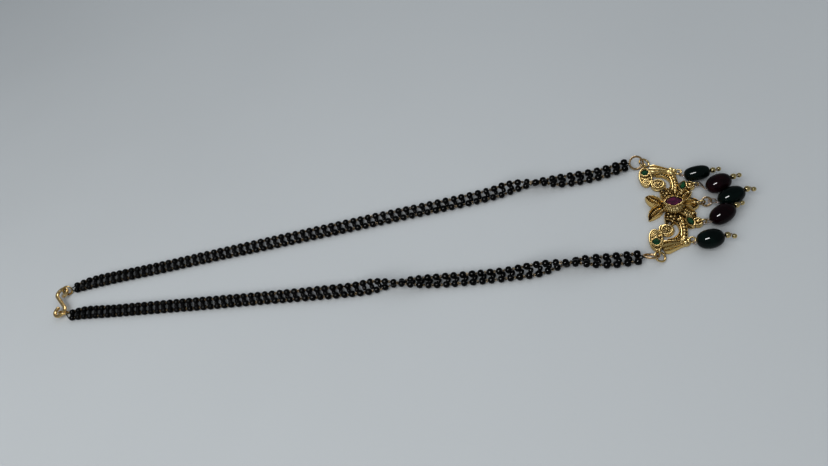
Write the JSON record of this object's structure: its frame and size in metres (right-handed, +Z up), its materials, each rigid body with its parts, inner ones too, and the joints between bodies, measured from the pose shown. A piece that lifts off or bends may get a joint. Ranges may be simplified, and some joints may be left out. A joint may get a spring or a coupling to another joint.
{
  "type": "mangalsutra",
  "caption": "Mangalsutra lying flat: gold pendant with a red stone, green stones and oval glass drops, on paired strings of black beads closed by an S hook.",
  "frame": {"origin": "middle of the outline, on the surface that the necklace lies on", "axes": "+X from the clasp to the pendant's drops, +Y to the pendant's right as it lies face up, +Z up from the surface"},
  "size_m": [0.2682, 0.0482, 0.0059],
  "materials": {
    "gold": "polished yellow gold",
    "red_stone": "cut magenta-red stone",
    "green_stone": "cut green stone",
    "dark_green_glass": "polished, near black",
    "dark_red_glass": "polished, near black",
    "black_beads": "glossy black glass"
  },
  "bodies": {
    "root": {"pendant": "gold", "ruby": "red_stone", "emerald_1": "green_stone", "emerald_2": "green_stone", "emerald_3": "green_stone", "emerald_4": "green_stone", "drop_1_wire": "gold", "drop_2_wire": "gold", "drop_3_wire": "gold", "drop_4_wire": "gold", "drop_5_wire": "gold", "drop_1_bead": "dark_green_glass", "drop_2_bead": "dark_red_glass", "drop_3_bead": "dark_green_glass", "drop_4_bead": "dark_red_glass", "drop_5_bead": "dark_green_glass", "drop_1_ball": "gold", "drop_2_ball": "gold", "drop_3_ball": "gold", "drop_4_ball": "gold", "drop_5_ball": "gold", "centre_ring": "gold", "end_ring_left": "gold", "end_ring_right": "gold", "end_link_left": "gold", "end_link_right": "gold", "clasp_ring_left": "gold", "clasp_ring_right": "gold", "clasp_hook": "gold", "strand_left_a": "black_beads", "strand_left_b": "black_beads", "strand_right_a": "black_beads", "strand_right_b": "black_beads"}
  },
  "joints": []
}
